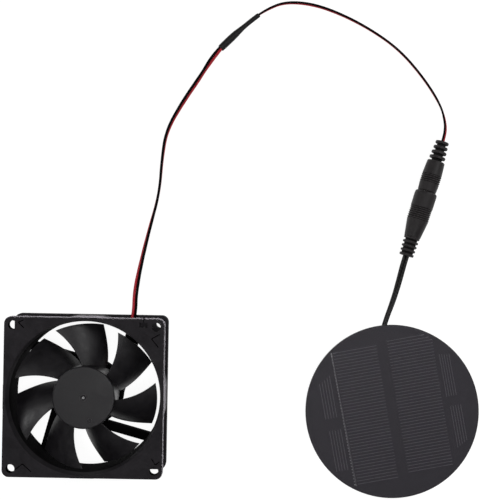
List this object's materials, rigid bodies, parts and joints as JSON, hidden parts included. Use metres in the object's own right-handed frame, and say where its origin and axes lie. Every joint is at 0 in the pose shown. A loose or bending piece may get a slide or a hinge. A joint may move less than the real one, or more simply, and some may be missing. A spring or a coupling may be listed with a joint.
{
  "type": "solar attic fan",
  "caption": "Square-framed axial fan for a vent opening, driven through a two-wire lead and in-line round connector by a small round solar panel on its own cable.",
  "frame": {"origin": "on the rotor axis, in the plane of the fan frame's rear mounting face", "axes": "+Z out of the intake along the rotor axis, +X from the fan towards the panel, +Y towards the connector"},
  "size_m": [0.2422, 0.2588, 0.025],
  "materials": {
    "frame_plastic": "black PBT moulding, fine texture",
    "impeller_plastic": "black PBT moulding, satin",
    "yoke_steel": "zinc plated steel",
    "magnet_ferrite": "rubber-bonded ferrite",
    "shaft_steel": "ground stainless steel",
    "bush_brass": "turned brass",
    "core_steel": "laminated silicon steel",
    "insulator_plastic": "natural nylon",
    "coil_copper": "enamelled copper wire",
    "board_green": "solder-masked glass epoxy",
    "chip_black": "moulded epoxy",
    "chip_tan": "ceramic capacitor",
    "solder": "tin solder",
    "bearing_bronze": "oil-filled sintered bronze",
    "seal_nylon": "white nylon",
    "label_paper": "blank silver-grey label",
    "wire_red": "red PVC insulation",
    "wire_black": "black PVC insulation",
    "sleeve_black": "black heat-shrink",
    "connector_pvc": "black moulded PVC",
    "contact_nickel": "nickel plated brass",
    "insert_plastic": "black nylon",
    "cable_black": "black PVC twin cable",
    "board_black": "black glass epoxy",
    "cell_silicon": "polycrystalline silicon",
    "ribbon_tin": "tinned copper ribbon",
    "film_pet": "satin PET laminate",
    "potting_black": "black potting silicone"
  },
  "bodies": {
    "fan_side": {"fan_frame": "frame_plastic", "rear_label": "label_paper", "bearing_cap": "seal_nylon", "sleeve_bearing": "bearing_bronze", "oil_seal_ring": "seal_nylon", "thrust_washer": "seal_nylon", "stator_core": "core_steel", "upper_insulator": "insulator_plastic", "lower_insulator": "insulator_plastic", "coil_windings": "coil_copper", "circuit_board": "board_green", "hall_sensor": "chip_black", "driver_ic": "chip_black", "board_capacitors": "chip_tan", "board_resistors": "chip_black", "coil_pins": "solder", "wire_solder_joints": "solder", "red_lead_lower": "wire_red", "black_lead_lower": "wire_black", "splice_sleeve": "sleeve_black", "black_lead_upper": "wire_black", "red_lead_upper": "wire_red", "plug_shell": "connector_pvc", "plug_barrel": "contact_nickel", "plug_insulator": "insert_plastic", "plug_inner_contact": "contact_nickel"},
    "rotor": {"impeller": "impeller_plastic", "rotor_yoke": "yoke_steel", "ring_magnet": "magnet_ferrite", "hub_bush": "bush_brass", "rotor_shaft": "shaft_steel", "shaft_clip": "shaft_steel"},
    "panel_side": {"jack_shell": "connector_pvc", "jack_insert": "insert_plastic", "jack_centre_pin": "contact_nickel", "jack_side_spring": "contact_nickel", "panel_cable": "cable_black", "panel_board": "board_black", "cell_left": "cell_silicon", "cell_right": "cell_silicon", "side_cells": "cell_silicon", "bus_ribbon": "ribbon_tin", "panel_film": "film_pet", "junction_potting": "potting_black", "solder_pads": "solder"}
  },
  "joints": [
    {"name": "impeller_spin", "type": "hinge", "parent": "fan_side", "child": "rotor", "pos_m": [0, 0, 0.012], "axis": [0, 0, 1], "continuous": true},
    {"name": "connector_pull", "type": "slide", "parent": "fan_side", "child": "panel_side", "axis": [-0.2868, -0.958, 0], "range_m": [0, 0.0098]}
  ]
}
